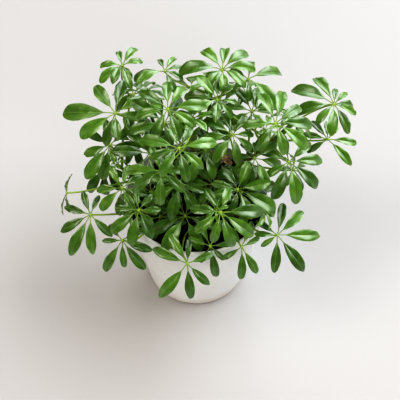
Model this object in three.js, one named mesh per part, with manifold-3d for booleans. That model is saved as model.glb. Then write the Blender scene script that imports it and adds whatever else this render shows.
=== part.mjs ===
// A dwarf umbrella plant (a small schefflera) growing in a white round pot.
// Millimetres, +Z up. The origin is on the floor under the middle of the pot, +X is to the right
// and +Y is away from the side that the plant is usually seen from.
import * as THREE from "three";
import { mergeVertices } from "three/addons/utils/BufferGeometryUtils.js";
import Module from "manifold-3d";

const wasm = await Module();
wasm.setup();

// Pot: one moulding, a straight taper with a rounded foot and a rounded rim.
const POT_HEIGHT = 165;
const POT_FOOT_RADIUS = 68;
const POT_RIM_RADIUS = 95;
const POT_WALL = 3;
const POT_FLOOR = 4;
const POT_FOOT_ROUNDING = 6;
const POT_FOOT_OVERHANG = 1;
const POT_FOOT_LEAN = 8;
const POT_INNER_FOOT_INSET = 2;
const POT_SIDES = 40;
const POT_ARC_STEPS = 4;

// Soil: fills the pot to a little below the rim, with a lumpy top.
const SOIL_TOP = 150;
const SOIL_RINGS = 4;
const CLEARANCE = 0.35;
const SEAT_GAP = 0.2;
const SOIL_WALL_GAP = 0.75;
const HOLE_SIDES = 8;
const HOLE_POINTS = 4;

// The lumps of the soil are two crossing waves: how high, how tight along x and y, and where from.
const BROAD_LUMP = { height: 1.6, alongX: 0.19, alongY: 0.23, start: 1.3 };
const FINE_LUMP = { height: 0.96, alongX: 0.41, alongY: -0.33 };

// Stems: they stand this deep in the soil, get thinner upwards and end in a tuft of young leaflets.
const STEM_DEPTH = 32;
const STEM_FOOT_RADIUS = 3.1;
const STEM_TIP_RADIUS = 2.1;
const STEM_SPREAD = 0.9;
const STEM_STEPS = 6;
const TUFT_COUNT = 7;
const TUFT_ARCH = [44, 78, 0.18];
const TUFT_TURN = 40;

// Each stem: foot x and y in the soil, then the x, y and z of its tip, and its tuft's longest reach.
const STEMS = {
  middle: [-2, 10, -6, 22, 286, 36],
  left: [-34, -2, -100, 4, 220, 18],
  right: [30, 4, 86, 20, 268, 30],
  front: [8, -30, 24, -64, 214, 24],
  back: [4, 40, 20, 78, 284, 38],
  front_left: [-28, -28, -76, -50, 196, 22],
  front_right: [30, -26, 84, -46, 192, 30],
  far_right: [28, 30, 124, 50, 250, 36],
  back_left: [-24, 30, -62, 66, 262, 27],
};

// Leaf stalks: how long one usually is, how thick, and how it leaves its stem and meets its hub.
const STALK_LENGTH = 58;
const STALK_BASE_RADIUS = 1.4;
const STALK_TOP_RADIUS = 0.95;
const STALK_STEPS = 3;
const STALK_LAUNCH = 0.35;
const STALK_APPROACH = 0.16;
const STALK_BOWS = [0, 9, -9, 18, -18, 27, -27];
const BOW_AT_HUB = 0.5;

// A stalk may start at any twentieth of a stem above its bare foot. It costs millimetres to be
// longer or shorter than usual, to run too level or to climb too steeply.
const START_STEPS = 20;
const LOWEST_START = 5;
const LEVEL_SLOPE = 0.2;
const LEVEL_COST = 60;
const STEEP_SLOPE = 0.8;
const STEEP_COST = 40;
const STEM_AHEAD = 0.05;

// Hubs and leaflets. A stem is as thick at its tip as the hub of its tuft.
const HUB_RADIUS = STEM_TIP_RADIUS;
const HUB_HALF_HEIGHT = 1.1;
const LEAFLET_STALK_SHARE = 0.2;
const LEAFLET_STALK_RADIUS = 0.7;
const LEAFLET_SLACK = 1.03;
const BLADE_THICKNESS = 1.2;
const BLADE_FOLD = 0.14;
const BLADE_PEAK = 0.62;
const BLADE_TIP_POWER = 0.6;
const BLADE_SHARES = [0, 0.42, 0.84];
const LEAST_SPACING = 16;

// How a leaflet rises from the hub and then bends down, in degrees, and half its blade's width over the
// blade's length. The leaves in the shade are broad.
const FLAT = [14, 50, 0.165];
const SHADED = [14, 50, 0.2];
const ARCHED = [26, 78, 0.185];
const FOUNTAIN = [42, 96, 0.2];
const MEAN_REACH = 0.8;
const REACH_SWING = 0.2;

// Leaflets spread evenly round a hub, the first one longest and the ones over the stalk shortest.
function spread(count, first, reach) {
  const leaflets = [];
  for (let i = 0; i < count; i++) {
    const turn = (360 * i) / count;
    const share = MEAN_REACH + REACH_SWING * Math.cos(radians(turn));
    leaflets.push([(first + turn) % 360, reach * share]);
  }
  return leaflets;
}

// Each leaf: its hub, the compass bearing that it leans to and by how much, how its leaflets arch,
// and the leaflets as bearing round the hub (0 is right, 90 is away) and reach from hub to tip.
const LEAVES = {
  front_low: [[-11, -114, 170], [270, 40], FLAT,
    [[157, 48], [231, 58], [276, 47], [315, 40], [20, 36], [85, 32], [115, 44]]],
  right_low: [[104, -70, 170], [280, 32], FLAT,
    [[0, 59], [308, 60], [266, 49], [215, 26], [184, 30], [150, 34], [84, 44], [54, 48]]],
  left_out: [[-103, 49, 270], [262, 30], SHADED,
    [[177, 72], [212, 56], [246, 44], [272, 38], [350, 40], [30, 42], [78, 47], [126, 49]]],
  left_low: [[-136, -45, 180], [262, 32], FLAT,
    [[163, 38], [208, 47], [236, 60], [272, 52], [315, 40], [67, 28], [110, 34]]],
  top_left: [[-34, 9, 320], [270, 24], ARCHED,
    [[92, 42], [144, 46], [190, 44], [243, 42], [292, 42], [330, 42], [8, 52], [56, 40]]],
  centre: [[-20, -45, 310], [275, 28], ARCHED,
    [[165, 52], [112, 32], [60, 32], [12, 50], [322, 40], [285, 43], [236, 42], [198, 40]]],
  right_top: [[97, 4, 300], [285, 26], ARCHED,
    [[113, 48], [76, 50], [42, 46], [8, 52], [332, 54], [288, 42], [238, 42], [184, 42]]],
  back_top: [[33, 86, 310], [270, 10], FOUNTAIN,
    [[128, 46], [82, 40], [40, 48], [8, 46], [333, 42], [274, 36], [236, 40], [182, 60], [206, 30]]],
  right_middle: [[117, -7, 240], [285, 32], ARCHED,
    [[150, 46], [105, 42], [56, 44], [12, 50], [322, 54], [283, 57], [248, 54], [212, 36]]],
  front_middle: [[30, -83, 235], [275, 34], ARCHED,
    [[173, 40], [122, 38], [70, 36], [2, 58], [325, 54], [290, 48], [256, 40], [224, 42]]],
  left_middle: [[-71, -68, 220], [262, 34], SHADED,
    [[175, 32], [205, 46], [257, 46], [283, 40], [312, 28], [0, 28], [50, 26], [100, 24]]],
  left_centre: [[-42, -46, 270], [265, 32], ARCHED,
    [[178, 46], [214, 44], [268, 45], [318, 40], [0, 36], [60, 32], [115, 36]]],
  back_right_top: [[66, 80, 300], [300, 12], ARCHED,
    [[22, 53], [317, 57], [275, 30], [222, 30], [80, 36], [150, 30]]],
  back_left_top: [[-40, 94, 300], [250, 10], ARCHED,
    [[190, 44], [210, 42], [110, 26], [60, 30], [25, 26], [335, 28], [300, 34]]],
  back_left_far: [[-96, 114, 290], [262, 14], FOUNTAIN,
    [[180, 32], [214, 40], [240, 38], [303, 26], [15, 30], [50, 36], [105, 26]]],
  right_far_top: [[175, 55, 280], [275, 16], ARCHED,
    [[116, 52], [88, 28], [55, 26], [20, 30], [345, 32], [312, 44], [276, 44], [240, 36], [190, 52],
      [153, 63]]],
  right_far: [[171, 40, 230], [275, 26], FLAT,
    [[128, 34], [92, 26], [355, 40], [314, 46], [212, 32], [50, 24], [160, 34]]],
  left_droop: [[-95, -71, 160], [255, 36], FLAT,
    [[238, 48], [267, 36], [307, 48], [170, 26], [135, 34], [342, 44], [20, 36]]],
  front_right: [[58, -85, 165], [285, 40], FLAT,
    [[212, 30], [271, 43], [290, 42], [20, 28], [65, 36], [125, 34]]],
  left_dark: [[-111, 27, 234], [262, 38], SHADED,
    [[200, 38], [222, 54], [266, 50], [300, 36], [350, 40], [40, 34], [100, 34], [150, 36]]],
  front_rim: [[18, -90, 174], [275, 45], FLAT,
    [[240, 26], [281, 43], [315, 26], [20, 32], [65, 36], [115, 36], [160, 30]]],
  left_edge: [[-168, -14, 186], [190, 66], FLAT,
    [[250, 30], [290, 26], [80, 26], [110, 24]]],
  left_inner: [[-94, -28, 214], [250, 34], SHADED,
    [[222, 42], [188, 36], [262, 36], [302, 36], [345, 34], [20, 30], [75, 32], [120, 34]]],
  middle_front: [[46, 10, 272], [280, 24], ARCHED, spread(8, 190, 48)],
  middle_back: [[27, 45, 298], [270, 22], ARCHED, spread(8, 176, 46)],
  middle_right: [[74, -4, 244], [285, 30], ARCHED, spread(8, 304, 46)],
  middle_low: [[22, -30, 222], [275, 34], SHADED,
    [[185, 34], [233, 32], [142, 34], [278, 38], [322, 38], [8, 34], [45, 36], [90, 34]]],
  right_bright: [[52, -40, 226], [290, 36], SHADED,
    [[346, 56], [18, 42], [60, 38], [110, 36], [160, 34], [205, 34], [250, 38], [300, 42]]],
  inner_front: [[-14, -54, 190], [270, 34], SHADED, spread(8, 250, 54)],
  inner_left: [[-46, -50, 182], [262, 36], SHADED, spread(7, 250, 46)],
  shoulder_left: [[-80, 72, 280], [262, 22], ARCHED, spread(7, 162, 38)],
  shoulder_right: [[71, 50, 272], [280, 22], ARCHED, spread(8, 120, 42)],
  left_shadow: [[-60, 14, 232], [255, 28], ARCHED, spread(8, 180, 52)],
  middle_shadow: [[12, 4, 250], [280, 26], ARCHED, spread(8, 240, 50)],
  deep_middle: [[20, -6, 212], [275, 26], SHADED, spread(8, 200, 56)],
  deep_front: [[-20, -30, 226], [265, 32], SHADED, spread(8, 210, 52)],
  deep_right: [[58, -22, 196], [285, 30], SHADED, spread(8, 330, 54)],
  deep_left: [[-58, -22, 198], [255, 30], SHADED, spread(8, 230, 52)],
  deep_back_left: [[-40, 40, 262], [262, 26], SHADED, spread(8, 150, 52)],
  deep_back: [[8, 46, 256], [275, 22], SHADED, spread(8, 60, 54)],
  deep_outer_left: [[-80, 36, 228], [258, 26], SHADED, spread(8, 60, 50)],
  side_left: [[-118, 17, 200], [245, 40], SHADED,
    [[230, 43], [258, 42], [285, 38], [200, 32], [330, 28], [60, 26], [130, 28]]],
  side_right: [[128, 22, 190], [350, 40], ARCHED, spread(7, 350, 40)],
  side_right_back: [[122, 78, 228], [40, 34], ARCHED, spread(7, 40, 42)],
  behind_left: [[-70, 106, 248], [110, 20], ARCHED, spread(8, 120, 48)],
  behind_middle: [[-6, 112, 250], [92, 22], ARCHED, spread(8, 90, 50)],
  behind_right: [[66, 104, 250], [70, 20], ARCHED, spread(8, 70, 50)],
  behind_low_left: [[-44, 112, 176], [105, 44], ARCHED, spread(7, 100, 46)],
  behind_low_right: [[46, 110, 180], [75, 44], ARCHED, spread(7, 80, 46)],
};

// Where a leaflet would pass through something, these changes are tried in turn.
const SHORTER = [1, 0.86, 0.72];
const LIFTS = [0, 10, -10, 20, -20, 30, -30];
const SWINGS = [0, 6, -6, 12, -12];
const CELL = 3;
const SAMPLE_STEP = 1.7;
const SAMPLE_LIFTS = [-1.1, 0, 1.1];
const SAMPLE_ANGLES = 6;
const SAMPLE_MARGIN = 0.6;
const HUB_OWNERS = 16;
const TUFT_OWNER = -100;
const NEAR_HUB = 12;
const NEAR_STEM = 10;
const POT_CLEARANCE = 1.5;
const SOIL_CLEARANCE = 3;

function radians(degrees) {
  return (degrees * Math.PI) / 180;
}

function along(point, direction, distance) {
  return point.clone().addScaledVector(direction, distance);
}

// Vertices and triangles of one closed surface, put together ring by ring.
function newShell() {
  return { vertices: [], triangles: [] };
}

function addPoint(shell, point) {
  shell.vertices.push(point.x, point.y, point.z);
  return shell.vertices.length / 3 - 1;
}

function addRing(shell, points) {
  return points.map((point) => addPoint(shell, point));
}

// Joins two rings of as many points. The first is behind the second, and both turn anticlockwise
// seen from ahead. Every other square is cut the other way, so that both faces of a blade match.
function addBand(shell, behind, ahead, cutOther = (j) => j % 2 === 1) {
  behind.forEach((a, j) => {
    const next = (j + 1) % behind.length;
    const [b, c, d] = [behind[next], ahead[next], ahead[j]];
    if (cutOther(j)) shell.triangles.push(a, b, d, b, c, d);
    else shell.triangles.push(a, b, c, a, c, d);
  });
}

function addTip(shell, ring, tip) {
  ring.forEach((a, j) => shell.triangles.push(a, ring[(j + 1) % ring.length], tip));
}

function addBackCap(shell, ring) {
  for (let j = 1; j < ring.length - 1; j++) shell.triangles.push(ring[0], ring[j + 1], ring[j]);
}

function addFrontCap(shell, ring) {
  for (let j = 1; j < ring.length - 1; j++) shell.triangles.push(ring[0], ring[j], ring[j + 1]);
}

function shellGeometry(shell) {
  const geometry = new THREE.BufferGeometry();
  geometry.setAttribute("position", new THREE.Float32BufferAttribute(shell.vertices, 3));
  geometry.setIndex(shell.triangles);
  geometry.computeVertexNormals();
  return geometry;
}

function ringPoints(centre, side, up, angles, radius) {
  return angles.map((angle) =>
    along(along(centre, side, radius * Math.cos(angle)), up, radius * Math.sin(angle)),
  );
}

function evenAngles(sides) {
  return Array.from({ length: sides }, (_, j) => (2 * Math.PI * j) / sides);
}

// A round bar along a path, with a radius for each of its points.
function barShell(path, radii, sides) {
  const shell = newShell();
  const angles = evenAngles(sides);
  let side = new THREE.Vector3(1, 0, 0);
  let last = null;
  path.forEach((point, i) => {
    const ahead = path[Math.min(i + 1, path.length - 1)];
    const behind = path[Math.max(i - 1, 0)];
    const forward = ahead.clone().sub(behind).normalize();
    side = along(side, forward, -side.dot(forward)).normalize();
    const up = forward.clone().cross(side);
    const ring = addRing(shell, ringPoints(point, side, up, angles, radii[i]));
    if (last) addBand(shell, last, ring);
    else addBackCap(shell, ring);
    last = ring;
  });
  addFrontCap(shell, last);
  return shell;
}

// Stems

// The middle of a stem at a share of its height above the soil.
function stemPoint([footX, footY, tipX, tipY, tipZ], share) {
  const out = Math.max(0, share) ** STEM_SPREAD;
  return new THREE.Vector3(
    footX + (tipX - footX) * out,
    footY + (tipY - footY) * out,
    SOIL_TOP + (tipZ - SOIL_TOP) * share,
  );
}

function stemRadius(share) {
  return STEM_FOOT_RADIUS + (STEM_TIP_RADIUS - STEM_FOOT_RADIUS) * Math.max(0, share);
}

// The line of a stem from its cut foot in the soil, which a margin lengthens for its hole.
function stemPath(stem, margin = 0) {
  const path = [stemPoint(stem, 0).setZ(SOIL_TOP - STEM_DEPTH - margin)];
  for (let i = 0; i <= STEM_STEPS; i++) path.push(stemPoint(stem, i / STEM_STEPS));
  return path;
}

function stemRadii() {
  const radii = [STEM_FOOT_RADIUS];
  for (let i = 0; i <= STEM_STEPS; i++) radii.push(stemRadius(i / STEM_STEPS));
  return radii;
}

// Space that is taken: each small cell of the space remembers what grows through it.
const taken = new Map();

function cellOf(point) {
  return [point.x, point.y, point.z].map((v) => Math.floor(v / CELL)).join(" ");
}

// The pot's wall and the soil are taken too.
function insidePot({ x, y, z }) {
  const radius = Math.hypot(x, y);
  const outside = potRadius(z) + POT_CLEARANCE;
  const inside = potRadius(z) - POT_WALL - POT_CLEARANCE;
  const atWall = z < POT_HEIGHT + POT_CLEARANCE && radius > inside;
  return radius < outside && (z < SOIL_TOP + SOIL_CLEARANCE || atWall);
}

function takeCells(points, owner) {
  for (const point of points) {
    const cell = cellOf(point);
    if (!taken.has(cell)) taken.set(cell, owner);
  }
}

// Points in and just round a bar.
function barSamples(path, radii) {
  const samples = [];
  for (let i = 0; i < path.length - 1; i++) {
    const steps = Math.ceil(path[i].distanceTo(path[i + 1]) / SAMPLE_STEP);
    for (let j = 0; j <= steps; j++) {
      const share = j / steps;
      const point = path[i].clone().lerp(path[i + 1], share);
      const reach = radii[i] + (radii[i + 1] - radii[i]) * share + SAMPLE_MARGIN;
      samples.push(point);
      for (const angle of evenAngles(SAMPLE_ANGLES)) {
        const [x, y] = [reach * Math.cos(angle), reach * Math.sin(angle)];
        samples.push(point.clone().add(new THREE.Vector3(x, y, 0)));
        samples.push(point.clone().add(new THREE.Vector3(x, 0, y)));
      }
    }
  }
  return samples;
}

// Leaf stalks

// The leaf's own axes: out of its face, to the right in its plane, and away in its plane.
function leafAxes([bearing, lean]) {
  const flat = Math.sin(radians(lean));
  const normal = new THREE.Vector3(
    Math.cos(radians(bearing)) * flat,
    Math.sin(radians(bearing)) * flat,
    Math.cos(radians(lean)),
  );
  const right = along(new THREE.Vector3(1, 0, 0), normal, -normal.x).normalize();
  return { normal, right, away: normal.clone().cross(right) };
}

// Places on the stems where a stalk to this hub could start, the most natural ones first.
function stalkStarts(hub) {
  const starts = [];
  Object.values(STEMS).forEach((stem, owner) => {
    for (let i = LOWEST_START; i <= START_STEPS; i++) {
      const share = i / START_STEPS;
      const point = stemPoint(stem, share);
      const length = point.distanceTo(hub);
      const slope = (hub.z - point.z) / length;
      const cost =
        Math.abs(length - STALK_LENGTH) +
        LEVEL_COST * Math.max(0, LEVEL_SLOPE - slope) +
        STEEP_COST * Math.max(0, slope - STEEP_SLOPE);
      starts.push({ owner: -1 - owner, stem, share, cost });
    }
  });
  return starts.sort((a, b) => a.cost - b.cost);
}

// The line of a stalk from the side of its stem to the hub, bowed sideways where it has to be. Its
// cut end leans, so it is first drawn from the stem's skin to see how far the end would reach in.
function stalkPath(hub, normal, start, bow) {
  const middle = stemPoint(start.stem, start.share);
  const upward = stemPoint(start.stem, start.share + STEM_AHEAD).sub(middle).normalize();
  const outward = hub.clone().sub(middle);
  outward.addScaledVector(upward, -outward.dot(upward)).normalize();
  const sideways = outward.clone().cross(upward);
  const pathFrom = (offset) => {
    const from = along(middle, outward, stemRadius(start.share) + offset);
    const length = from.distanceTo(hub);
    return new THREE.CubicBezierCurve3(
      from,
      from.clone().lerp(hub, STALK_LAUNCH).addScaledVector(sideways, bow),
      along(along(hub, normal, -STALK_APPROACH * length), sideways, BOW_AT_HUB * bow),
      along(hub, normal, -HUB_HALF_HEIGHT),
    ).getPoints(STALK_STEPS);
  };
  const [foot, next] = pathFrom(0);
  const away = next.clone().sub(foot).normalize().dot(outward);
  return pathFrom(SEAT_GAP + STALK_BASE_RADIUS * Math.sqrt(1 - away ** 2));
}

function stalkRadii() {
  return Array.from(
    { length: STALK_STEPS + 1 },
    (_, i) => STALK_BASE_RADIUS + ((STALK_TOP_RADIUS - STALK_BASE_RADIUS) * i) / STALK_STEPS,
  );
}

function findStalk(hub, normal) {
  for (const start of stalkStarts(hub))
    for (const bow of STALK_BOWS) {
      const path = stalkPath(hub, normal, start, bow);
      const samples = barSamples(path, stalkRadii());
      const free = samples.every((point) => {
        const owner = taken.get(cellOf(point));
        const ownStem = owner === start.owner && point.distanceTo(path[0]) < NEAR_STEM;
        return !insidePot(point) && (owner === undefined || ownStem);
      });
      if (free) return { path, samples };
    }
  throw new Error(`no room for the stalk to the hub at ${hub.toArray()}`);
}

// Leaflets

// The point on a leaflet's midrib at a share of its length, with the directions of the rib and face.
function ribPoint(hub, axes, leaflet, share) {
  const bearing = radians(leaflet.bearing);
  const out = along(axes.right.clone().multiplyScalar(Math.cos(bearing)), axes.away, Math.sin(bearing));
  const rise = radians(leaflet.rise);
  const now = rise - radians(leaflet.bend) * share;
  const tightness = radians(leaflet.bend) / (leaflet.reach * LEAFLET_SLACK);
  const level = (Math.sin(rise) - Math.sin(now)) / tightness;
  const over = (Math.cos(now) - Math.cos(rise)) / tightness;
  return {
    point: along(along(hub, out, level), axes.normal, over),
    face: along(out.clone().multiplyScalar(-Math.sin(now)), axes.normal, Math.cos(now)),
    side: axes.normal.clone().cross(out),
  };
}

// A leaflet is a thin stalk, then a blade that is widest past its middle and blunt at its tip.
function halfWidth({ reach, width }, share) {
  const t = Math.max(0, (share - LEAFLET_STALK_SHARE) / (1 - LEAFLET_STALK_SHARE));
  const widest = BLADE_PEAK * (1 - BLADE_PEAK) ** BLADE_TIP_POWER;
  const blade = width * reach * (1 - LEAFLET_STALK_SHARE);
  return Math.max(LEAFLET_STALK_RADIUS, (blade * t * (1 - t) ** BLADE_TIP_POWER) / widest);
}

// The sections that a leaflet is built from: at the hub, where its blade starts, twice more, and its tip.
function leafletSections(hub, axes, leaflet) {
  const blade = BLADE_SHARES.map((share) => LEAFLET_STALK_SHARE + (1 - LEAFLET_STALK_SHARE) * share);
  return [0, ...blade, 1].map((share) => ({
    ...ribPoint(hub, axes, leaflet, share),
    half: halfWidth(leaflet, share),
  }));
}

// Points on and just off both faces of a leaflet.
function leafletSamples(hub, axes, leaflet) {
  const samples = [];
  const sections = leafletSections(hub, axes, leaflet);
  sections.slice(1).forEach((ahead, i) => {
    const behind = sections[i];
    const steps = Math.ceil(behind.point.distanceTo(ahead.point) / SAMPLE_STEP);
    for (let j = 0; j <= steps; j++) {
      const share = j / steps;
      const point = behind.point.clone().lerp(ahead.point, share);
      const face = behind.face.clone().lerp(ahead.face, share).normalize();
      const half = behind.half + (ahead.half - behind.half) * share;
      const across = Math.ceil(half / SAMPLE_STEP);
      for (let k = -across; k <= across; k++) {
        const offset = (half * k) / across;
        const base = along(along(point, ahead.side, offset), face, BLADE_FOLD * Math.abs(offset));
        for (const lift of SAMPLE_LIFTS) samples.push(along(base, face, lift));
      }
    }
  });
  return samples;
}

function spacingBetween(a, b) {
  const gap = Math.abs(a - b) % 360;
  return Math.min(gap, 360 - gap);
}

// Swings, lifts or shortens a leaflet until it is clear of everything placed before it.
function placeLeaflet(hub, axes, wanted, arch, leaf, placed) {
  const [bearing, reach] = wanted;
  const [rise, bend, width] = arch;
  for (const shorter of SHORTER)
    for (const lift of LIFTS)
      for (const swing of SWINGS) {
        const leaflet = { bearing: bearing + swing, reach: reach * shorter, rise: rise + lift, bend, width };
        if (placed.some((other) => spacingBetween(other.bearing, leaflet.bearing) < LEAST_SPACING)) continue;
        const samples = leafletSamples(hub, axes, leaflet);
        const free = samples.every((point) => {
          const owner = taken.get(cellOf(point));
          const ownLeaf = owner !== undefined && Math.floor(owner / HUB_OWNERS) === leaf;
          const nearHub = ownLeaf && point.distanceTo(hub) < NEAR_HUB;
          return !insidePot(point) && (owner === undefined || nearHub);
        });
        if (free) {
          takeCells(samples, leaf * HUB_OWNERS + 1 + placed.length);
          return leaflet;
        }
      }
  return null;
}

// A blade is a four-cornered section swept along the midrib: two edges, the top and the underside.
function addLeaflet(shell, start, hub, axes, leaflet) {
  let last = start;
  const sections = leafletSections(hub, axes, leaflet);
  sections.slice(1, -1).forEach(({ point, face, side, half }, i) => {
    const raised = along(point, face, BLADE_FOLD * half);
    const ring = addRing(shell, [
      along(raised, side, half),
      along(point, face, BLADE_THICKNESS / 2),
      along(raised, side, -half),
      along(point, face, -BLADE_THICKNESS / 2),
    ]);
    addBand(shell, last, ring, i === 0 ? () => true : undefined);
    last = ring;
  });
  addTip(shell, last, addPoint(shell, sections[sections.length - 1].point));
}

// Leaves

// One leaf is a single surface: the stalk, the hub with a side for each leaflet, and the leaflets.
function leafShell({ hub, axes, path, radii, leaflets }) {
  const shell = newShell();
  const sorted = [...leaflets].sort((a, b) => ((a.bearing + 360) % 360) - ((b.bearing + 360) % 360));
  const bearings = sorted.map((leaflet) => (leaflet.bearing + 360) % 360);
  const corners = bearings.map((bearing, j) => {
    const next = j + 1 < bearings.length ? bearings[j + 1] : bearings[0] + 360;
    return radians((bearing + next) / 2);
  });
  let side = axes.right;
  const top = path.length - 1;
  const rings = [ringPoints(path[top], side, axes.away, corners, HUB_RADIUS)];
  for (let i = top - 1; i >= 0; i--) {
    const forward = path[i + 1].clone().sub(path[Math.max(i - 1, 0)]).normalize();
    side = along(side, forward, -side.dot(forward)).normalize();
    const up = forward.clone().cross(side);
    rings.unshift(ringPoints(path[i], side, up, corners, radii[i]));
  }
  const placedRings = rings.map((ring) => addRing(shell, ring));
  addBackCap(shell, placedRings[0]);
  for (let i = 0; i < top; i++) addBand(shell, placedRings[i], placedRings[i + 1]);

  const lower = placedRings[top];
  const topCentre = along(hub, axes.normal, HUB_HALF_HEIGHT);
  const upper = addRing(shell, ringPoints(topCentre, axes.right, axes.away, corners, HUB_RADIUS));
  sorted.forEach((leaflet, j) => {
    const before = (j + corners.length - 1) % corners.length;
    addLeaflet(shell, [lower[j], upper[j], upper[before], lower[before]], hub, axes, leaflet);
  });
  addTip(shell, upper, addPoint(shell, along(hub, axes.normal, 2 * HUB_HALF_HEIGHT)));
  return shell;
}

// A stem grows into its tuft as a leaf stalk does into its hub.
function growStems() {
  return Object.values(STEMS).map((stem, i) => {
    const path = stemPath(stem);
    const tip = path[path.length - 1];
    const upward = tip.clone().sub(path[path.length - 2]).normalize();
    const lean = THREE.MathUtils.radToDeg(Math.acos(upward.z));
    const axes = leafAxes([THREE.MathUtils.radToDeg(Math.atan2(upward.y, upward.x)), lean]);
    const hub = along(tip, upward, HUB_HALF_HEIGHT);
    const [rise, bend, width] = TUFT_ARCH;
    const wanted = spread(TUFT_COUNT, TUFT_TURN * i, stem[5]);
    const leaflets = wanted.map(([bearing, reach]) => ({ bearing, reach, rise, bend, width }));
    takeCells(barSamples(path.slice(1), stemRadii().slice(1)), -1 - i);
    for (const leaflet of leaflets) takeCells(leafletSamples(hub, axes, leaflet), TUFT_OWNER - i);
    return { hub, axes, path, radii: stemRadii(), leaflets };
  });
}

function growLeaves() {
  const rows = Object.values(LEAVES);
  const grown = rows.map(([place, lean], leaf) => {
    const hub = new THREE.Vector3(...place);
    const axes = leafAxes(lean);
    const { path, samples } = findStalk(hub, axes.normal);
    takeCells(samples, leaf * HUB_OWNERS);
    return { hub, axes, path, radii: stalkRadii(), leaflets: [] };
  });
  rows.forEach(([, , arch, wanted], leaf) => {
    const { hub, axes, leaflets } = grown[leaf];
    for (const row of wanted) {
      const leaflet = placeLeaflet(hub, axes, row, arch, leaf, leaflets);
      if (leaflet) leaflets.push(leaflet);
    }
  });
  return grown;
}

// Pot and soil

function arc(centreX, centreY, radius, from, to, steps) {
  return Array.from({ length: steps + 1 }, (_, i) => {
    const angle = radians(from + ((to - from) * i) / steps);
    return new THREE.Vector2(centreX + radius * Math.cos(angle), centreY + radius * Math.sin(angle));
  });
}

// Radius of the pot's outside at a height, on its straight taper.
function potRadius(height) {
  return POT_FOOT_RADIUS + ((POT_RIM_RADIUS - POT_FOOT_RADIUS) * height) / POT_HEIGHT;
}

// Radius of the pot's floor inside, where the wall is a little thicker.
function potInnerFoot() {
  return potRadius(POT_FLOOR) - POT_WALL - POT_INNER_FOOT_INSET;
}

function lathe(profile) {
  return new THREE.LatheGeometry(profile, POT_SIDES).rotateX(Math.PI / 2);
}

function potGeometry() {
  const rimRounding = POT_WALL / 2;
  const rimMiddle = POT_RIM_RADIUS - rimRounding;
  const footMiddle = POT_FOOT_RADIUS + POT_FOOT_OVERHANG - POT_FOOT_ROUNDING;
  const profile = [
    new THREE.Vector2(0, 0),
    ...arc(footMiddle, POT_FOOT_ROUNDING, POT_FOOT_ROUNDING, -90, -POT_FOOT_LEAN, POT_ARC_STEPS),
    ...arc(rimMiddle, POT_HEIGHT - rimRounding, rimRounding, 0, 180, POT_ARC_STEPS),
    new THREE.Vector2(potInnerFoot(), POT_FLOOR),
    new THREE.Vector2(0, POT_FLOOR),
  ];
  return lathe(profile);
}

// The soil's lumps die out at the wall.
function soilLump(x, y, edge) {
  const broad = Math.sin(BROAD_LUMP.alongX * x + BROAD_LUMP.start) * Math.cos(BROAD_LUMP.alongY * y);
  const fine = Math.sin(FINE_LUMP.alongX * x + FINE_LUMP.alongY * y);
  return (BROAD_LUMP.height * broad + FINE_LUMP.height * fine) * (1 - edge);
}

// A hole follows its stem to well above the soil, and its flats clear the stem's corners.
function stemHole(stem) {
  const path = stemPath(stem, CLEARANCE).slice(0, HOLE_POINTS);
  const radii = stemRadii().map((radius) => (radius + CLEARANCE) / Math.cos(Math.PI / HOLE_SIDES));
  return solidOf(shellGeometry(barShell(path, radii, HOLE_SIDES)));
}

function soilSolid() {
  const floor = POT_FLOOR + CLEARANCE;
  const low = potInnerFoot() - CLEARANCE;
  const high = potRadius(SOIL_TOP) - POT_WALL - SOIL_WALL_GAP;
  const profile = [new THREE.Vector2(0, floor), new THREE.Vector2(low, floor)];
  for (let i = SOIL_RINGS; i >= 0; i--) profile.push(new THREE.Vector2((high * i) / SOIL_RINGS, SOIL_TOP));
  const geometry = lathe(profile);
  const place = geometry.attributes.position;
  for (let i = 0; i < place.count; i++) {
    if (place.getZ(i) < SOIL_TOP - 1) continue;
    const [x, y] = [place.getX(i), place.getY(i)];
    place.setZ(i, SOIL_TOP + soilLump(x, y, Math.hypot(x, y) / high));
  }
  return Object.values(STEMS).reduce(
    (soil, stem) => soil.subtract(stemHole(stem)),
    solidOf(geometry),
  );
}

// Booleans

function solidOf(geometry) {
  const bare = geometry.clone();
  bare.deleteAttribute("normal");
  bare.deleteAttribute("uv");
  const merged = mergeVertices(bare, 1e-3);
  return new wasm.Manifold(
    new wasm.Mesh({
      numProp: 3,
      vertProperties: merged.attributes.position.array,
      triVerts: new Uint32Array(merged.index.array),
    }),
  );
}

function geometryOf(solid) {
  const mesh = solid.getMesh();
  return shellGeometry({ vertices: [...mesh.vertProperties], triangles: [...mesh.triVerts] });
}

// Materials

function finish(colour, roughness) {
  return new THREE.MeshStandardMaterial({ color: colour, roughness, metalness: 0 });
}

const POT_WHITE = "#ecebe6";
const SOIL_BROWN = "#1e1610";
const STEM_BROWN = "#77705a";
const SHADED_GREEN = new THREE.Color("#2c5a1c");
const BRIGHT_GREEN = new THREE.Color("#5c9a3a");
const BRIGHT_HEIGHT = 320;

function leafColour(height) {
  const share = (height - SOIL_TOP) / (BRIGHT_HEIGHT - SOIL_TOP);
  return SHADED_GREEN.clone().lerp(BRIGHT_GREEN, THREE.MathUtils.clamp(share, 0, 1));
}

// The whole plant

const plant = new THREE.Group();

function addMesh(name, geometry, material) {
  const mesh = new THREE.Mesh(geometry, material);
  mesh.name = name;
  plant.add(mesh);
}

addMesh("pot", potGeometry(), finish(POT_WHITE, 0.35));
addMesh("soil", geometryOf(soilSolid()), finish(SOIL_BROWN, 0.95));
const stemNames = Object.keys(STEMS);
growStems().forEach((stem, i) => {
  addMesh("stem_" + stemNames[i], shellGeometry(leafShell(stem)), finish(STEM_BROWN, 0.7));
});
const leafNames = Object.keys(LEAVES);
growLeaves().forEach((leaf, i) => {
  addMesh("leaf_" + leafNames[i], shellGeometry(leafShell(leaf)), finish(leafColour(leaf.hub.z), 0.45));
});

export default plant;
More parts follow.
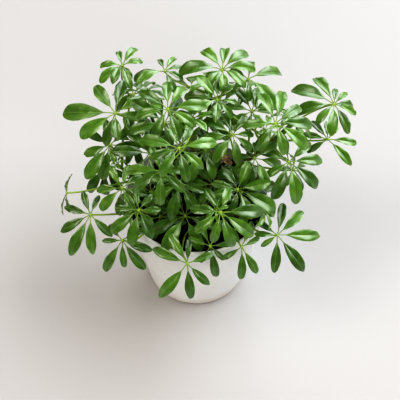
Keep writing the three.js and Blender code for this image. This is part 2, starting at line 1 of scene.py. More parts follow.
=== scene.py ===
"""A dwarf umbrella plant in a white pot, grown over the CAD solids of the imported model."""

import math
import random
from itertools import combinations

import bpy
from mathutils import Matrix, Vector, noise


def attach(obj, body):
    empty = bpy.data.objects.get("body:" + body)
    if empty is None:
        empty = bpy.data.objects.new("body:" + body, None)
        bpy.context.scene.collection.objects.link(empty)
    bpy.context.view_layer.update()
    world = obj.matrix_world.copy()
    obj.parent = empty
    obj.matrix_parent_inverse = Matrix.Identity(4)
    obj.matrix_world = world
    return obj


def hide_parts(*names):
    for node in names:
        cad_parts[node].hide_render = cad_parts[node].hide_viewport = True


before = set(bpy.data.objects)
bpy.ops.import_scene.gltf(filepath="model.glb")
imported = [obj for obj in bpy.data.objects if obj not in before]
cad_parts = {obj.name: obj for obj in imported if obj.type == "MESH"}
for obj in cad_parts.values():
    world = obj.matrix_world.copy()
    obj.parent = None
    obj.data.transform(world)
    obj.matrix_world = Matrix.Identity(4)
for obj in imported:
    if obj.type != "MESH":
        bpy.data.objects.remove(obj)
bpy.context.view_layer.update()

# Pot
# A plain round flower pot, injection moulded in white polypropylene in one piece. It tapers to its
# foot, and its lip and foot are rounded. It holds the soil and stands flat on the floor.

POT_HEIGHT = 0.165
POT_FOOT_RADIUS = 0.068
POT_RIM_RADIUS = 0.095
POT_WALL = 0.003
POT_FLOOR = 0.004
INNER_FOOT_INSET = 0.002
# The foot's rounding ends where the wall is this much wider than the foot, and leans out by this
# many degrees.
FOOT_ROUNDING = 0.006
FOOT_SPREAD = 0.001
FOOT_LEAN = 8
FOOT_STEPS = 10
LIP_STEPS = 12
POT_SIDES = 160
WALL_RINGS = 12


class Skin:
    """One mesh in the making: its points, each with a tone and a place on the blade, and its faces."""

    def __init__(self):
        self.points = []
        self.places = []
        self.tones = []
        self.faces = []
        self.slots = []

    def ring(self, points, places=None, tone=0.5):
        """Adds points and gives their numbers. A place is how far across and along the blade, in mm."""
        start = len(self.points)
        self.points += [tuple(point) for point in points]
        self.places += places or [(0.0, 0.0)] * len(points)
        self.tones += [tone] * len(points)
        return list(range(start, len(self.points)))

    def bridge(self, behind, ahead, slots):
        """Joins two closed rings with squares. slots is one material slot, or one for each square."""
        count = len(behind)
        for i in range(count):
            after = (i + 1) % count
            self.faces.append((behind[i], behind[after], ahead[after], ahead[i]))
            self.slots.append(slots if isinstance(slots, int) else slots[i])

    def close(self, ring, point, slots, place=(0.0, 0.0), tone=0.5, forward=True):
        """Closes a ring with triangles to one more point."""
        (middle,) = self.ring([point], [place], tone)
        for i, corner in enumerate(ring):
            after = ring[(i + 1) % len(ring)]
            self.faces.append((corner, after, middle) if forward else (after, corner, middle))
            self.slots.append(slots if isinstance(slots, int) else slots[i])

    def make(self, name, materials, sharper_than=60):
        """Makes the object. Edges that turn by more than sharper_than degrees stay crisp."""
        mesh = bpy.data.meshes.new(name)
        mesh.from_pydata(self.points, [], self.faces)
        for material in materials:
            mesh.materials.append(material)
        mesh.polygons.foreach_set("material_index", self.slots)
        mesh.polygons.foreach_set("use_smooth", [True] * len(self.faces))
        places = mesh.attributes.new("place", "FLOAT_VECTOR", "POINT")
        places.data.foreach_set("vector", [number for place in self.places for number in (*place, 0.0)])
        tones = mesh.attributes.new("tone", "FLOAT", "POINT")
        tones.data.foreach_set("value", self.tones)
        mesh.set_sharp_from_angle(angle=math.radians(sharper_than))
        made = bpy.data.objects.new(name, mesh)
        bpy.context.scene.collection.objects.link(made)
        return made


def arc(centre_x, centre_z, radius, start, end, steps):
    """Points of a profile along an arc, from one angle to another in degrees."""
    angles = [math.radians(start + (end - start) * i / steps) for i in range(steps + 1)]
    return [(centre_x + radius * math.cos(a), centre_z + radius * math.sin(a)) for a in angles]


def circle(radius, z, sides):
    """The points of a level circle round the pot's middle."""
    turns = [2 * math.pi * i / sides for i in range(sides)]
    return [Vector((radius * math.cos(turn), radius * math.sin(turn), z)) for turn in turns]


def between(first, last, steps):
    """The profile points that divide a straight wall."""
    shares = [i / steps for i in range(1, steps)]
    return [tuple(a + (b - a) * share for a, b in zip(first, last)) for share in shares]


def pot_radius(height):
    """The outer radius of the pot's straight wall at a height."""
    return POT_FOOT_RADIUS + (POT_RIM_RADIUS - POT_FOOT_RADIUS) * height / POT_HEIGHT


def pot_skin():
    """The pot, turned from its profile: up the outside, over the rounded lip and down the inside."""
    lip = POT_WALL / 2
    foot_middle = POT_FOOT_RADIUS + FOOT_SPREAD - FOOT_ROUNDING
    foot = arc(foot_middle, FOOT_ROUNDING, FOOT_ROUNDING, -90, -FOOT_LEAN, FOOT_STEPS)
    rim = arc(POT_RIM_RADIUS - lip, POT_HEIGHT - lip, lip, 0, 180, LIP_STEPS)
    inner_foot = (pot_radius(POT_FLOOR) - POT_WALL - INNER_FOOT_INSET, POT_FLOOR)
    profile = foot + between(foot[-1], rim[0], WALL_RINGS) + rim
    profile += between(rim[-1], inner_foot, WALL_RINGS) + [inner_foot]
    skin = Skin()
    rings = [skin.ring(circle(radius, z, POT_SIDES)) for radius, z in profile]
    for behind, ahead in zip(rings, rings[1:]):
        skin.bridge(behind, ahead, 0)
    skin.close(rings[0], (0, 0, 0), 0, forward=False)
    skin.close(rings[-1], (0, 0, POT_FLOOR), 0)
    return skin


def linear(colour):
    """An sRGB hex colour as the linear RGBA that a shader takes."""
    parts = [int(colour[i : i + 2], 16) / 255 for i in (1, 3, 5)]
    return [p / 12.92 if p <= 0.04045 else ((p + 0.055) / 1.055) ** 2.4 for p in parts] + [1.0]


def connect(tree, node, inputs):
    """Sets a node's inputs, by name or number. Each one is a number, an sRGB hex colour, a socket to link,
    or a node whose first output is linked."""
    for name, value in inputs.items():
        if isinstance(value, bpy.types.Node):
            value = value.outputs[0]
        if isinstance(value, bpy.types.NodeSocket):
            tree.links.new(value, node.inputs[name])
        else:
            node.inputs[name].default_value = linear(value) if isinstance(value, str) else value


def add_node(tree, kind, inputs=None, **settings):
    """Adds a shader node. The inputs of a MapRange are 0 the value, 1 and 2 the range that it is read
    from, and 3 and 4 the range that it is given in."""
    made = tree.nodes.new("ShaderNode" + kind)
    for name, value in settings.items():
        setattr(made, name, value)
    connect(tree, made, inputs or {})
    return made


def new_material(name):
    """A new material with its tree and its shader."""
    material = bpy.data.materials.new(name)
    material.use_nodes = True
    return material, material.node_tree, material.node_tree.nodes["Principled BSDF"]


def moulded_white_plastic():
    """Moulded polypropylene: an even cool white with a soft shine, and a blotchy tan band low down that is
    painted shade and warm floor bounce, with a little soil stain.
    """
    peel_mm, scuff_mm, foot_shade_mm = 1.6, 28, 14
    foot_shade_low, foot_shade_top, foot_shade_strength = 0.001, 0.02, 0.75
    material, tree, shader = new_material("moulded_white_plastic")
    place = add_node(tree, "TexCoord").outputs["Object"]
    height = add_node(tree, "SeparateXYZ", {0: place}).outputs["Z"]
    # The tan band at the foot is painted shade and warm bounce from the floor, blotched like a little
    # rubbed-in soil.
    low = add_node(tree, "MapRange", {0: height, 1: foot_shade_low, 2: foot_shade_top, 3: foot_shade_strength, 4: 0.0})
    blotch = add_node(tree, "TexNoise", {"Vector": place, "Scale": 1000 / foot_shade_mm, "Detail": 4.0})
    foot_shade_and_stain = add_node(tree, "Math", {0: low, 1: blotch}, operation="MULTIPLY")
    scuff = add_node(tree, "TexNoise", {"Vector": place, "Scale": 1000 / scuff_mm, "Detail": 5.0})
    shade = add_node(tree, "MapRange", {0: scuff, 1: 0.35, 2: 0.7, 3: 0.0, 4: 0.35})
    white = add_node(tree, "MixRGB", {"Fac": shade, "Color1": "#e3e6e7", "Color2": "#dbdddd"})
    colour = add_node(tree, "MixRGB", {"Fac": foot_shade_and_stain, "Color1": white, "Color2": "#b89e7c"})
    gloss = add_node(tree, "MapRange", {0: scuff, 1: 0.3, 2: 0.7, 3: 0.3, 4: 0.42})
    peel = add_node(tree, "TexNoise", {"Vector": place, "Scale": 1000 / peel_mm, "Detail": 2.0})
    bump = add_node(tree, "Bump", {"Strength": 0.08, "Distance": 0.0003, "Height": peel})
    connect(tree, shader, {"Base Color": colour, "Roughness": gloss, "IOR": 1.49, "Normal": bump})
    return material


pot = pot_skin().make("white_pot", [moulded_white_plastic()])
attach(pot, "root")
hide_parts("pot")

# Soil
# Moist peat potting soil, dark and crumbly, pressed in by hand to a little below the rim. It fills
# the pot and holds the stems. Crumbs and bits of bark lie loose on top.

SOIL_TOP = 0.15
# The soil stops this far off the inside of the pot, at its foot and at its top.
FOOT_GAP = 0.00035
TOP_GAP = 0.00075
SOIL_FLOOR = POT_FLOOR + FOOT_GAP
SOIL_RADIUS = pot_radius(SOIL_TOP) - POT_WALL - TOP_GAP
SOIL_FOOT_RADIUS = pot_radius(POT_FLOOR) - POT_WALL - INNER_FOOT_INSET - FOOT_GAP
SOIL_RINGS = 52
SOIL_SIDES = 150
# The broad lumps of the CAD soil, in millimetres and per millimetre.
BROAD_LUMP = (1.6, 0.19, 0.23, 1.3)
FINE_LUMP = (0.96, 0.41, -0.33)
# Each size of clod in the soil's top, with how far it stands up, and how far all of them are pressed
# in, in millimetres.
CLODS = ((7, 0.9), (3.2, 0.75), (1.5, 0.4))
CLODS_PRESSED = 0.4
# The loose crumbs: how many, how far they keep off the pot, the least and the most of their size in
# millimetres, then their height, their four side corners, the tilt of those and their lift, all as
# shares of the size.
CRUMB_COUNT = 420
CRUMB_SEED = 4
CRUMB_MARGIN = 0.004
CRUMB_SIZES = (0.7, 2.1)
CRUMB_HEIGHTS = (0.35, 0.9)
CRUMB_CORNERS = (0.7, 1.25)
CRUMB_TILT = 0.2
CRUMB_LIFT = 0.3


def soil_height(x, y):
    """The height of the soil's top: the broad lumps of the CAD solid, with the clods on them."""
    edge = math.hypot(x, y) / SOIL_RADIUS
    height, along_x, along_y, start = BROAD_LUMP
    broad = height * math.sin(1000 * along_x * x + start) * math.cos(1000 * along_y * y)
    height, along_x, along_y = FINE_LUMP
    fine = height * math.sin(1000 * (along_x * x + along_y * y))
    clods = sum(rise * noise.noise(Vector((x, y, 0)) * 1000 / size) for size, rise in CLODS)
    return SOIL_TOP + 0.001 * ((broad + fine) * max(0, 1 - edge) + clods - CLODS_PRESSED)


def soil_skin():
    """The soil in one closed skin: its floor, its side and its lumpy top."""
    skin = Skin()
    bottom = skin.ring(circle(SOIL_FOOT_RADIUS, SOIL_FLOOR, SOIL_SIDES))
    skin.close(bottom, (0, 0, SOIL_FLOOR), 0, forward=False)
    last = bottom
    for i in range(SOIL_RINGS, 0, -1):
        points = circle(SOIL_RADIUS * i / SOIL_RINGS, 0, SOIL_SIDES)
        for point in points:
            point.z = soil_height(point.x, point.y)
        ahead = skin.ring(points)
        skin.bridge(last, ahead, 0)
        last = ahead
    skin.close(last, (0, 0, soil_height(0, 0)), 0)
    return skin


def add_crumb(skin, centre, size, tone, draw):
    """A rough lump with six corners, as soil crumbles or bark chips."""
    ends = [Vector(p) for p in ((1, 0, 0), (0, 1, 0), (-1, 0, 0), (0, -1, 0))]
    flat = draw.uniform(*CRUMB_HEIGHTS)
    turn = draw.uniform(0, math.pi)
    around = []
    for end in ends:
        end = end * size * draw.uniform(*CRUMB_CORNERS)
        x = end.x * math.cos(turn) - end.y * math.sin(turn)
        y = end.x * math.sin(turn) + end.y * math.cos(turn)
        around.append(centre + Vector((x, y, draw.uniform(-CRUMB_TILT, CRUMB_TILT) * size)))
    ring = skin.ring(around, tone=tone)
    skin.close(ring, centre + Vector((0, 0, flat * size)), 0, tone=tone)
    skin.close(ring, centre - Vector((0, 0, flat * size)), 0, tone=tone, forward=False)


def crumbs_skin():
    """The loose crumbs, spread evenly over the soil."""
    skin = Skin()
    draw = random.Random(CRUMB_SEED)
    for _ in range(CRUMB_COUNT):
        radius = (SOIL_RADIUS - CRUMB_MARGIN) * math.sqrt(draw.random())
        turn = draw.uniform(0, 2 * math.pi)
        x, y = radius * math.cos(turn), radius * math.sin(turn)
        size = 0.001 * draw.uniform(*CRUMB_SIZES)
        centre = Vector((x, y, soil_height(x, y) + CRUMB_LIFT * size))
        add_crumb(skin, centre, size, draw.random(), draw)
    return skin


def peat_soil():
    """Peat soil: nearly black where moist, which is partly painted shade under the leaves, brown on the
    crumbs that have dried, and quite without shine.
    """
    crumb_mm, grain_mm = 5, 0.8
    material, tree, shader = new_material("peat_soil")
    place = add_node(tree, "TexCoord").outputs["Object"]
    crumb = add_node(tree, "TexNoise", {"Vector": place, "Scale": 1000 / crumb_mm, "Detail": 6.0})
    dry = add_node(tree, "MapRange", {0: crumb, 1: 0.42, 2: 0.68, 3: 0.0, 4: 1.0})
    tone = add_node(tree, "Attribute", attribute_name="tone").outputs["Fac"]
    dried = add_node(tree, "MixRGB", {"Fac": tone, "Color1": "#2f2219", "Color2": "#584230"})
    # The moist soil's near-black is darker than peat's own colour: it is partly painted shade under the
    # leaves.
    colour = add_node(tree, "MixRGB", {"Fac": dry, "Color1": "#100b07", "Color2": dried})
    grain = add_node(tree, "TexNoise", {"Vector": place, "Scale": 1000 / grain_mm, "Detail": 6.0})
    bump = add_node(tree, "Bump", {"Strength": 0.7, "Distance": 0.0006, "Height": grain})
    connect(tree, shader, {"Base Color": colour, "Normal": bump})
    connect(tree, shader, {"Roughness": 0.93, "Specular IOR Level": 0.3})
    return material


peat = peat_soil()
soil = soil_skin().make("potting_soil", [peat])
crumbs = crumbs_skin().make("soil_crumbs", [peat], sharper_than=30)
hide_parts("soil")
for piece in (soil, crumbs):
    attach(piece, "root")

# Leaves
# Forty-nine leaves. Each one has grown as one piece: a thin green stalk, swollen where it leaves the
# stem, and leathery waxy leaflets round the small hub at its end, like the ribs of an umbrella.

# How the CAD solids are put together: a leaflet is a thin stalk for this share of its length, then a
# blade with three four-cornered rings and a tip, and its middle is this thick. The middle ring and the
# last one are at these shares of the blade. The powers say how fast the blade widens from its base and
# from its tip. Two lengths that differ by less than TINY are the same.
LEAFLET_STALK_SHARE = 0.2
BLADE_RINGS = 3
RING_CORNERS = 4
MIDDLE_RING = 0.42
LAST_RING = 0.84
SOLID_THICKNESS = 0.0012
SOLID_SHAPE = (1, 0.6)
TINY = 0.00001


def joined_corners(node):
    """Each corner of a CAD solid, with the corners that it shares a face with."""
    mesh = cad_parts[node].data
    places = [tuple(vertex.co) for vertex in mesh.vertices]
    joined = {place: set() for place in places}
    for face in mesh.polygons:
        ring = [places[i] for i in face.vertices]
        for place in ring:
            joined[place].update(other for other in ring if other != place)
    return joined


def middle_of(corners):
    """The mean of some corners."""
    return sum((Vector(corner) for corner in corners), Vector()) / len(corners)


def blade_rings(tip, joined):
    """The rings of the blade that ends at this corner, from the tip inwards, or None if none does."""
    around = joined[tip]
    if len(around) != RING_CORNERS:
        return None
    faces = [pair for pair in combinations(around, 2) if abs(math.dist(*pair) - SOLID_THICKNESS) < TINY]
    if len(faces) != 1:
        return None
    faces = set(faces[0])
    edges = around - faces
    if abs(math.dist(tip, min(edges)) - math.dist(tip, max(edges))) > TINY:
        return None
    rings = [(edges, faces)]
    used = {tip} | around
    while len(rings) < BLADE_RINGS:
        edges = set().union(*(joined[corner] for corner in edges)) - used
        faces = set().union(*(joined[corner] for corner in faces)) - used - edges
        used |= edges | faces
        rings.append((edges, faces))
    return rings


def ring_place(ring):
    """The middle of a blade's ring, with the way that its upper face looks."""
    edges, faces = ring
    middle = middle_of(faces)
    face = (Vector(min(faces)) - Vector(max(faces))).normalized()
    if face.dot(middle_of(edges) - middle) < 0:
        face.negate()
    return middle, face


def blade_width(share, base_power, tip_power):
    """A blade's width over its widest, at a share of its length."""
    peak = base_power / (base_power + tip_power)
    return (share / peak) ** base_power * ((1 - share) / (1 - peak)) ** tip_power


def read_leaflet(tip, rings):
    """The arc of a leaflet's midrib: where its blade starts, its axes there, its bend and its sizes."""
    start, face = ring_place(rings[-1])
    end, end_face = ring_place(rings[0])
    turn = face.angle(end_face)
    radius = (end - start).length / (2 * math.sin(turn / 2))
    left, right = (Vector(corner) for corner in rings[1][0])
    heading = (left - right).cross(face).normalized()
    if heading.dot(Vector(tip) - start) < 0:
        heading.negate()
    bend = turn / (LAST_RING * (1 - LEAFLET_STALK_SHARE))
    return {
        "start": start,
        "face": face,
        "heading": heading,
        "across": face.cross(heading),
        "bend": bend,
        "radius": radius,
        "length": radius * bend,
        "half_width": (left - right).length / 2 / blade_width(MIDDLE_RING, *SOLID_SHAPE),
    }


def rib_place(leaflet, share):
    """The point of a midrib at a share of its length from the hub, with the way that the face looks."""
    turn = leaflet["bend"] * (share - LEAFLET_STALK_SHARE)
    level = leaflet["radius"] * math.sin(turn)
    drop = leaflet["radius"] * (1 - math.cos(turn))
    point = leaflet["start"] + leaflet["heading"] * level - leaflet["face"] * drop
    return point, leaflet["face"] * math.cos(turn) + leaflet["heading"] * math.sin(turn)


def round_middle(corners):
    """The middle of the circle through a ring's corners."""
    a, b, c = (Vector(corner) for corner in sorted(corners)[:3])
    a, b = a - c, b - c
    normal = a.cross(b)
    return c + (a.length_squared * b - b.length_squared * a).cross(normal) / (2 * normal.length_squared)


def read_solid(node):
    """What a leaf's or a stem's solid was built from: the middle line and radii of its stalk, its leaflets
    and the crown of its hub."""
    joined = joined_corners(node)
    leaflets = []
    blades = set()
    for tip in sorted(joined):
        rings = blade_rings(tip, joined)
        if rings:
            leaflets.append(read_leaflet(tip, rings))
            blades |= {tip}.union(*(edges | faces for edges, faces in rings))
    touching = {corner for corner in joined if corner not in blades and joined[corner] & blades}
    (crown,) = [c for c in joined if c not in blades and c not in touching and joined[c] <= touching]
    # The layers of corners run from the crown down to the foot. The first two are the hub's, and the
    # last one is empty.
    layers = [{crown}]
    seen = blades | {crown}
    while layers[-1]:
        layers.append(set().union(*(joined[corner] for corner in layers[-1])) - seen)
        seen |= layers[-1]
    stalk = layers[-2:1:-1]
    line = [round_middle(layer) for layer in stalk]
    radii = [(Vector(min(layer)) - middle).length for layer, middle in zip(stalk, line)]
    return {"line": line, "radii": radii, "crown": Vector(crown), "leaflets": leaflets}


def smooth_line(points, values, step):
    """Points about a step apart on a smooth line through the given ones, with the values between theirs."""
    ends = [2 * points[0] - points[1], *points, 2 * points[-1] - points[-2]]
    line, filled = [], []
    for i in range(len(points) - 1):
        a, b, c, d = ends[i : i + 4]
        steps = max(2, round((c - b).length / step))
        for j in range(steps):
            t = j / steps
            pull = 2 * b + (c - a) * t + (2 * a - 5 * b + 4 * c - d) * t**2 + (3 * b - a - 3 * c + d) * t**3
            line.append(pull / 2)
            filled.append(values[i] + (values[i + 1] - values[i]) * t)
    return line + [points[-1]], filled + [values[-1]]


def add_tube(skin, line, radii, sides, slot, tones):
    """A round tube along a line, closed at both ends."""
    side = Vector((1, 0, 0))
    rings = []
    for i, point in enumerate(line):
        forward = (line[min(i + 1, len(line) - 1)] - line[max(i - 1, 0)]).normalized()
        side = (side - forward * side.dot(forward)).normalized()
        up = forward.cross(side)
        turns = [2 * math.pi * j / sides for j in range(sides)]
        around = [point + radii[i] * (side * math.cos(t) + up * math.sin(t)) for t in turns]
        rings.append(skin.ring(around, tone=tones[i]))
    for behind, ahead in zip(rings, rings[1:]):
        skin.bridge(behind, ahead, slot)
    skin.close(rings[0], line[0], slot, tone=tones[0], forward=False)
    skin.close(rings[-1], line[-1], slot, tone=tones[-1])


# The columns of points across a blade, as shares of its half width, closer at the midrib and margins.
COLUMNS = (-1, -0.9, -0.7, -0.45, -0.2, -0.07, 0, 0.07, 0.2, 0.45, 0.7, 0.9, 1)
BLADE_ROWS = 20
# A leaflet's own stalk has this many rows. The first one is this share of a row off the hub's middle.
STALK_ROWS = 4
STALK_START = 0.2
LEAFLET_STALK_RADIUS = 0.00062
BLADE_THICKNESS = 0.00036
MARGIN_THICKNESS = 0.00022
RIB_DEPTH = 0.0006
RIB_WIDTH = 0.0006
GROOVE_DEPTH = 0.0003
# How fast the blade widens from its base and from its tip. A range is the least and the most that a
# leaflet has of the value above it.
BASE_POWER = 0.93
BASE_RANGE = (0.92, 1.08)
TIP_POWER = 0.66
TIP_RANGE = (0.88, 1.15)
# The leaflet's roundness is what is left of its blade, to this power, so it soon flattens.
FLATTENING = 6
# The blade is folded up along its midrib, less steeply further out, and its margins curl down again.
FOLD = 0.34
FOLD_RANGE = (0.6, 1.5)
FOLD_EASING = 0.3
CURL = 0.14
CURL_RANGE = (0.2, 1.5)
# Each margin waves this far up and down, this many times. The blade twists by up to this many degrees,
# mostly at its tip.
MARGIN_WAVE = 0.0006
MARGIN_WAVES = (1.6, 3.2)
TWIST = 11
TWIST_POWER = 1.5
# The slots of the blade's upper side, its underside and the stalks, in leaf_materials below, and of
# the one leaflet that has dried up deep in the bush.
UPPER, UNDER, STALK, WITHERED = 0, 1, 2, 3
WITHERED_LEAF = "leaf_middle_shadow"
WITHERED_LEAFLET = 6
WITHERED_WIDTH = 0.8
WITHERED_FOLD = 1.1


def blade_section(wide, blade, roundness, habit):
    """Points round one row of a leaflet: how far across, and how far out of the plane, each one lies."""
    section = []
    for upper in (True, False):
        for column in COLUMNS if upper else COLUMNS[-2:0:-1]:
            x, out = wide * column, abs(column)
            pace, start = habit["waves"][column > 0]
            folded = habit["fold"] * ((1 + FOLD_EASING) * out - FOLD_EASING * out**2)
            lift = wide * (folded - habit["curl"] * out**3)
            lift += MARGIN_WAVE * out**2 * math.sin(2 * math.pi * pace * blade + start)
            bulge = math.sqrt(max(0, 1 - column**2))
            thin = (MARGIN_THICKNESS + (BLADE_THICKNESS - MARGIN_THICKNESS) * bulge) / 2
            near_rib = math.exp(-((x / RIB_WIDTH) ** 2)) * math.sqrt(1 - blade)
            thin += -GROOVE_DEPTH * near_rib if upper else RIB_DEPTH * near_rib
            thick = thin * (1 - roundness) + LEAFLET_STALK_RADIUS * bulge * roundness
            section.append((x, lift * (1 - roundness) + (thick if upper else -thick)))
    return section


def add_leaflet(skin, leaflet, tone, draw, slots=(UPPER, UNDER), fold=FOLD):
    """A leaflet: its own round little stalk, which opens into a thin blade with a rib underneath."""
    habit = {
        "fold": fold * draw.uniform(*FOLD_RANGE),
        "curl": CURL * draw.uniform(*CURL_RANGE),
        "waves": [(draw.uniform(*MARGIN_WAVES), draw.uniform(0, 2 * math.pi)) for _ in range(2)],
    }
    twist = math.radians(draw.uniform(-TWIST, TWIST))
    powers = BASE_POWER * draw.uniform(*BASE_RANGE), TIP_POWER * draw.uniform(*TIP_RANGE)
    flats = len(COLUMNS) - 1
    blade_slots = [slots[0]] * flats + [slots[1]] * flats
    blade_length = 1000 * leaflet["length"] * (1 - LEAFLET_STALK_SHARE)
    rows = [(LEAFLET_STALK_SHARE * (i + STALK_START) / STALK_ROWS, 0.0) for i in range(STALK_ROWS)]
    for i in range(BLADE_ROWS):
        blade = math.sin(math.pi / 2 * i / BLADE_ROWS)
        rows.append((LEAFLET_STALK_SHARE + (1 - LEAFLET_STALK_SHARE) * blade, blade))
    last = None
    for row, (share, blade) in enumerate(rows):
        point, face = rib_place(leaflet, share)
        across = leaflet["across"]
        turn = twist * blade**TWIST_POWER
        over = face * math.cos(turn) + across * math.sin(turn)
        aside = across * math.cos(turn) - face * math.sin(turn)
        roundness = (1 - blade) ** FLATTENING
        half_width = leaflet["half_width"] * blade_width(blade, *powers)
        wide = math.hypot(LEAFLET_STALK_RADIUS * roundness, half_width)
        section = blade_section(wide, blade, roundness, habit)
        points = [point + aside * x + over * z for x, z in section]
        ring = skin.ring(points, [(1000 * x, blade_length * blade) for x, _ in section], tone)
        if last:
            skin.bridge(last, ring, STALK if row < STALK_ROWS else blade_slots)
        else:
            skin.close(ring, rib_place(leaflet, 0)[0], STALK, tone=tone, forward=False)
        last = ring
    skin.close(last, rib_place(leaflet, 1)[0], blade_slots, (0.0, blade_length), tone)


STALK_SIDES = 10
STALK_STEP = 0.004
# A stalk starts inside the stem, this far from its middle, with this radius. Where it leaves the stem
# it is this much thicker than its solid.
STALK_ROOT = 0.0012
STALK_ROOT_RADIUS = 0.0023
STALK_SWELLING = 1.25
# The hub's rings: how far each one is on from the stalk's end to the crown, and its radius.
HUB_SHARES = (0.3, 0.65, 0.95)
HUB_RADII = (0.0021, 0.0019, 0.0009)
# The oldest leaves hang lowest and are the darkest green, and the youngest are at the top. So the lower a
# leaf hangs, the darker it is painted: partly the deeper green of age, partly painted shade low in the bush
# and painted light at the top. A leaflet's tone is the lowest tone and what its height adds, give or take
# the spread.
LOW_LEAF_HEIGHT = 0.16
TOP_LEAF_HEIGHT = 0.33
LOW_LEAF_TONE = 0.2
YOUTH_AND_LIGHT_ADDS = 0.2
TONE_SPREAD = 0.28
# The stems are searched for a stalk's foot in steps of this length.
SEARCH_STEP = 0.003


def nearest_stem_point(point):
    """The nearest point on the middle of a stem."""
    lines = [smooth_line(solid["line"], solid["radii"], SEARCH_STEP)[0] for solid in stem_solids]
    points = [place for line in lines for place in line]
    return min(points, key=lambda place: (place - point).length_squared)


def leaf_skin(solid, draw, withered=None):
    """A leaf. withered is the number of its dried leaflet, if it has one."""
    line, radii = solid["line"], solid["radii"]
    crown = solid["crown"]
    foot = nearest_stem_point(line[0])
    root = foot + (line[0] - foot).normalized() * STALK_ROOT
    line = [root, *line]
    radii = [STALK_ROOT_RADIUS, radii[0] * STALK_SWELLING, *radii[1:-1], radii[-2]]
    line, radii = smooth_line(line, radii, STALK_STEP)
    line += [line[-1].lerp(crown, share) for share in HUB_SHARES]
    radii += HUB_RADII
    skin = Skin()
    add_tube(skin, line, radii, STALK_SIDES, STALK, [i / (len(line) - 1) for i in range(len(line))])
    # Higher leaves are painted paler: partly the fresher green of youth, partly painted light at the top
    # and painted shade low down.
    youth_and_light = (crown.z - LOW_LEAF_HEIGHT) / (TOP_LEAF_HEIGHT - LOW_LEAF_HEIGHT)
    for number, leaflet in enumerate(solid["leaflets"]):
        tone = LOW_LEAF_TONE + YOUTH_AND_LIGHT_ADDS * youth_and_light + draw.uniform(-TONE_SPREAD, TONE_SPREAD)
        tone = min(1, max(0, tone))
        if number == withered:
            shrunk = dict(leaflet, half_width=WITHERED_WIDTH * leaflet["half_width"])
            add_leaflet(skin, shrunk, tone, draw, (WITHERED, WITHERED), WITHERED_FOLD)
        else:
            add_leaflet(skin, leaflet, tone, draw)
    return skin


# A side vein slants this far along the blade for each step across it. The midrib's paler line has its
# full strength over this share of its width.
VEIN_SLANT = 0.85
RIB_CORE = 0.3


def blade_lines(tree, vein_mm, rib_mm, vein_share):
    """The midrib and the side veins that slant out from it, as two nodes that give one on the line."""
    blade = add_node(tree, "Attribute", attribute_name="place").outputs["Vector"]
    parts = add_node(tree, "SeparateXYZ", {0: blade})
    across = add_node(tree, "Math", {0: parts.outputs["X"]}, operation="ABSOLUTE")
    slant = add_node(tree, "Math", {0: across, 1: VEIN_SLANT}, operation="MULTIPLY")
    reach = add_node(tree, "Math", {0: parts.outputs["Y"], 1: slant}, operation="SUBTRACT")
    count = add_node(tree, "Math", {0: reach, 1: vein_mm}, operation="DIVIDE")
    cycle = add_node(tree, "Math", {0: count, 1: 1.0}, operation="PINGPONG")
    vein = add_node(tree, "MapRange", {0: cycle, 1: 0.0, 2: vein_share, 3: 1.0, 4: 0.0})
    rib = add_node(tree, "MapRange", {0: across, 1: rib_mm * RIB_CORE, 2: rib_mm, 3: 1.0, 4: 0.0})
    return rib, vein


def leaf_upper():
    """The upper side of a grown leaf: leathery deep green with a fine sunken midrib. The coat is its wax.
    Its IOR is set above that of wax, which gives the eye the broad pale sheen."""
    vein_mm, rib_mm, mottle_mm, pore_mm, spot_mm = 4.6, 0.55, 9, 0.5, 22
    vein_share, vein_paleness, rib_paleness, pore_depth = 0.16, 0.1, 0.28, 0.25
    material, tree, shader = new_material("leaf_upper")
    place = add_node(tree, "TexCoord").outputs["Object"]
    tone = add_node(tree, "Attribute", attribute_name="tone").outputs["Fac"]
    rib, vein = blade_lines(tree, vein_mm, rib_mm, vein_share)
    mottle = add_node(tree, "TexNoise", {"Vector": place, "Scale": 1000 / mottle_mm, "Detail": 4.0})
    patch = add_node(tree, "MapRange", {0: mottle, 1: 0.38, 2: 0.68, 3: 0.0, 4: 0.8})
    deep = add_node(tree, "MixRGB", {"Fac": tone, "Color1": "#2b5708", "Color2": "#5a9218"})
    fresh = add_node(tree, "MixRGB", {"Fac": tone, "Color1": "#46760f", "Color2": "#7eaa3c"})
    green = add_node(tree, "MixRGB", {"Fac": patch, "Color1": deep, "Color2": fresh})
    faint_vein = add_node(tree, "Math", {0: vein, 1: vein_paleness}, operation="MULTIPLY")
    veined = add_node(tree, "MixRGB", {"Fac": faint_vein, "Color1": green, "Color2": "#7fae4a"})
    faint_rib = add_node(tree, "Math", {0: rib, 1: rib_paleness}, operation="MULTIPLY")
    lined = add_node(tree, "MixRGB", {"Fac": faint_rib, "Color1": veined, "Color2": "#9cc266"})
    spots = add_node(tree, "TexVoronoi", {"Vector": place, "Scale": 1000 / spot_mm})
    spot = add_node(tree, "MapRange", {0: spots, 1: 0.02, 2: 0.05, 3: 0.7, 4: 0.0})
    colour = add_node(tree, "MixRGB", {"Fac": spot, "Color1": lined, "Color2": "#33300f"})
    gloss = add_node(tree, "MapRange", {0: mottle, 1: 0.3, 2: 0.7, 3: 0.32, 4: 0.46})
    pores = add_node(tree, "TexNoise", {"Vector": place, "Scale": 1000 / pore_mm, "Detail": 2.0})
    shallow = add_node(tree, "Math", {0: pores, 1: pore_depth}, operation="MULTIPLY")
    sunk = add_node(tree, "Math", {0: shallow, 1: vein}, operation="SUBTRACT")
    bump = add_node(tree, "Bump", {"Strength": 0.3, "Distance": 0.0003, "Height": sunk})
    connect(tree, shader, {"Base Color": colour, "Roughness": gloss, "IOR": 1.45, "Normal": bump})
    connect(tree, shader, {"Coat Weight": 1.0, "Coat Roughness": 0.38, "Coat IOR": 1.95})
    connect(tree, shader, {"Subsurface Weight": 0.06, "Subsurface Radius": (0.5, 1.0, 0.2)})
    connect(tree, shader, {"Subsurface Scale": 0.0008})
    return material


